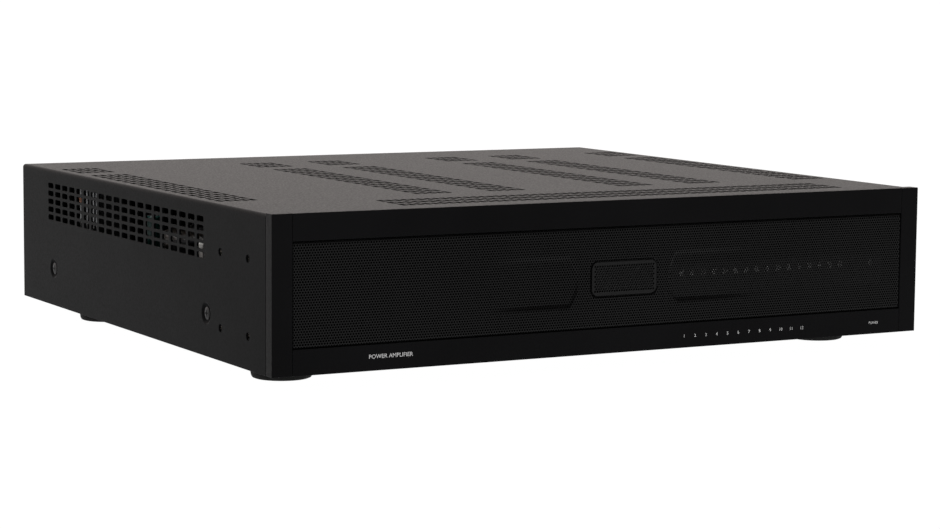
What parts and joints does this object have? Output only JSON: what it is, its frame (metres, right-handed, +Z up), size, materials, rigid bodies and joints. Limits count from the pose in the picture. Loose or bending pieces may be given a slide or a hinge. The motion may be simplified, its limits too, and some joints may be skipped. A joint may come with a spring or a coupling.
{
  "type": "power amplifier",
  "caption": "Rack-width audio power amplifier: vented steel case on round feet, perforated front with a lamp row, rear inputs, level knobs and plug-in speaker terminals.",
  "frame": {"origin": "on the surface the feet stand on, under the middle of the whole object", "axes": "+X to the right seen from the front, +Y from front to back, +Z up"},
  "size_m": [0.432, 0.408, 0.0976],
  "materials": {
    "cover_paint": "fine textured black powder coat",
    "front_paint": "satin black",
    "grille_paint": "satin black perforated steel",
    "badge_paint": "satin dark grey",
    "rubber": "matt moulded rubber",
    "zinc_steel": "zinc plated",
    "black_screw": "black zinc",
    "circuit_board": "green solder mask",
    "black_anodised": "extruded, black anodised",
    "aluminium": "extruded, bare",
    "winding_tape": "black polyester tape over copper",
    "black_sleeve": "heat-shrunk sleeve",
    "teal_sleeve": "heat-shrunk sleeve",
    "black_plastic": "fine moulded grain",
    "filter_foam": "open-cell filter foam",
    "ribbon_grey": "ribbon cable sheath",
    "green_plastic": "terminal green"
  },
  "bodies": {
    "chassis": {"top_cover": "cover_paint", "rear_panel": "cover_paint", "base_pan": "cover_paint", "front_frame": "front_paint", "end_cap_left": "front_paint", "end_cap_right": "front_paint", "front_grille": "grille_paint", "badge_plate": "badge_paint", "foot_left_front": "rubber", "foot_left_rear": "rubber", "foot_right_front": "rubber", "foot_right_rear": "rubber", "rack_nut_plate_left": "zinc_steel", "rack_nut_plate_right": "zinc_steel", "transformer_clamp": "zinc_steel", "ground_post": "zinc_steel", "cover_screw_left_front": "black_screw", "cover_screw_left_rear": "black_screw", "cover_screw_right_front": "black_screw", "cover_screw_right_rear": "black_screw", "lamp_board": "circuit_board", "amplifier_board_left": "circuit_board", "amplifier_board_right": "circuit_board", "power_supply_board": "circuit_board", "input_board": "circuit_board", "heatsink_1": "black_anodised", "heatsink_2": "black_anodised", "heatsink_3": "black_anodised", "heatsink_4": "black_anodised", "power_supply_heatsink": "aluminium", "power_transformer": "winding_tape", "bulk_capacitor_1": "black_sleeve", "bulk_capacitor_2": "teal_sleeve", "mains_lead": "black_plastic", "fan_frame": "black_plastic", "power_inlet": "black_plastic", "rocker_housing": "black_plastic", "mode_switch_housing": "black_plastic", "trigger_jack": "black_plastic", "input_jack_block": "black_plastic", "air_filter": "filter_foam", "lamp_ribbon": "ribbon_grey", "speaker_header": "green_plastic"},
    "fan_rotor": {"fan_rotor": "black_plastic"},
    "fuse_drawer": {"fuse_drawer": "black_plastic"},
    "power_rocker": {"power_rocker": "black_plastic"},
    "mode_slider": {"mode_slider": "black_plastic"},
    "level_knob_1": {"level_knob_1": "black_plastic"},
    "level_knob_2": {"level_knob_2": "black_plastic"},
    "level_knob_3": {"level_knob_3": "black_plastic"},
    "level_knob_4": {"level_knob_4": "black_plastic"},
    "level_knob_5": {"level_knob_5": "black_plastic"},
    "level_knob_6": {"level_knob_6": "black_plastic"},
    "speaker_plug_1": {"speaker_plug_1": "green_plastic"},
    "speaker_plug_2": {"speaker_plug_2": "green_plastic"},
    "speaker_plug_3": {"speaker_plug_3": "green_plastic"},
    "speaker_plug_4": {"speaker_plug_4": "green_plastic"},
    "speaker_plug_5": {"speaker_plug_5": "green_plastic"},
    "speaker_plug_6": {"speaker_plug_6": "green_plastic"}
  },
  "joints": [
    {"name": "fan_spin", "type": "hinge", "parent": "chassis", "child": "fan_rotor", "pos_m": [-0.075, 0.18345, 0.0535], "axis": [0, 1, 0], "continuous": true},
    {"name": "power_rocker_tilt", "type": "hinge", "parent": "chassis", "child": "power_rocker", "pos_m": [-0.14, 0.188, 0.0535], "axis": [1, 0, 0], "range_deg": [0, 16]},
    {"name": "fuse_drawer_slide", "type": "slide", "parent": "chassis", "child": "fuse_drawer", "axis": [0, 1, 0], "range_m": [0, 0.018]},
    {"name": "mode_slider_slide", "type": "slide", "parent": "chassis", "child": "mode_slider", "axis": [1, 0, 0], "range_m": [0, 0.004]},
    {"name": "level_knob_1_turn", "type": "hinge", "parent": "chassis", "child": "level_knob_1", "pos_m": [0.021, 0.196, 0.0685], "axis": [0, -1, 0], "range_deg": [-150, 150]},
    {"name": "speaker_plug_1_pull", "type": "slide", "parent": "chassis", "child": "speaker_plug_1", "axis": [0, 1, 0], "range_m": [0, 0.02]},
    {"name": "level_knob_2_turn", "type": "hinge", "parent": "chassis", "child": "level_knob_2", "pos_m": [0.057, 0.196, 0.0685], "axis": [0, -1, 0], "range_deg": [-150, 150]},
    {"name": "speaker_plug_2_pull", "type": "slide", "parent": "chassis", "child": "speaker_plug_2", "axis": [0, 1, 0], "range_m": [0, 0.02]},
    {"name": "level_knob_3_turn", "type": "hinge", "parent": "chassis", "child": "level_knob_3", "pos_m": [0.093, 0.196, 0.0685], "axis": [0, -1, 0], "range_deg": [-150, 150]},
    {"name": "speaker_plug_3_pull", "type": "slide", "parent": "chassis", "child": "speaker_plug_3", "axis": [0, 1, 0], "range_m": [0, 0.02]},
    {"name": "level_knob_4_turn", "type": "hinge", "parent": "chassis", "child": "level_knob_4", "pos_m": [0.129, 0.196, 0.0685], "axis": [0, -1, 0], "range_deg": [-150, 150]},
    {"name": "speaker_plug_4_pull", "type": "slide", "parent": "chassis", "child": "speaker_plug_4", "axis": [0, 1, 0], "range_m": [0, 0.02]},
    {"name": "level_knob_5_turn", "type": "hinge", "parent": "chassis", "child": "level_knob_5", "pos_m": [0.165, 0.196, 0.0685], "axis": [0, -1, 0], "range_deg": [-150, 150]},
    {"name": "speaker_plug_5_pull", "type": "slide", "parent": "chassis", "child": "speaker_plug_5", "axis": [0, 1, 0], "range_m": [0, 0.02]},
    {"name": "level_knob_6_turn", "type": "hinge", "parent": "chassis", "child": "level_knob_6", "pos_m": [0.201, 0.196, 0.0685], "axis": [0, -1, 0], "range_deg": [-150, 150]},
    {"name": "speaker_plug_6_pull", "type": "slide", "parent": "chassis", "child": "speaker_plug_6", "axis": [0, 1, 0], "range_m": [0, 0.02]}
  ]
}
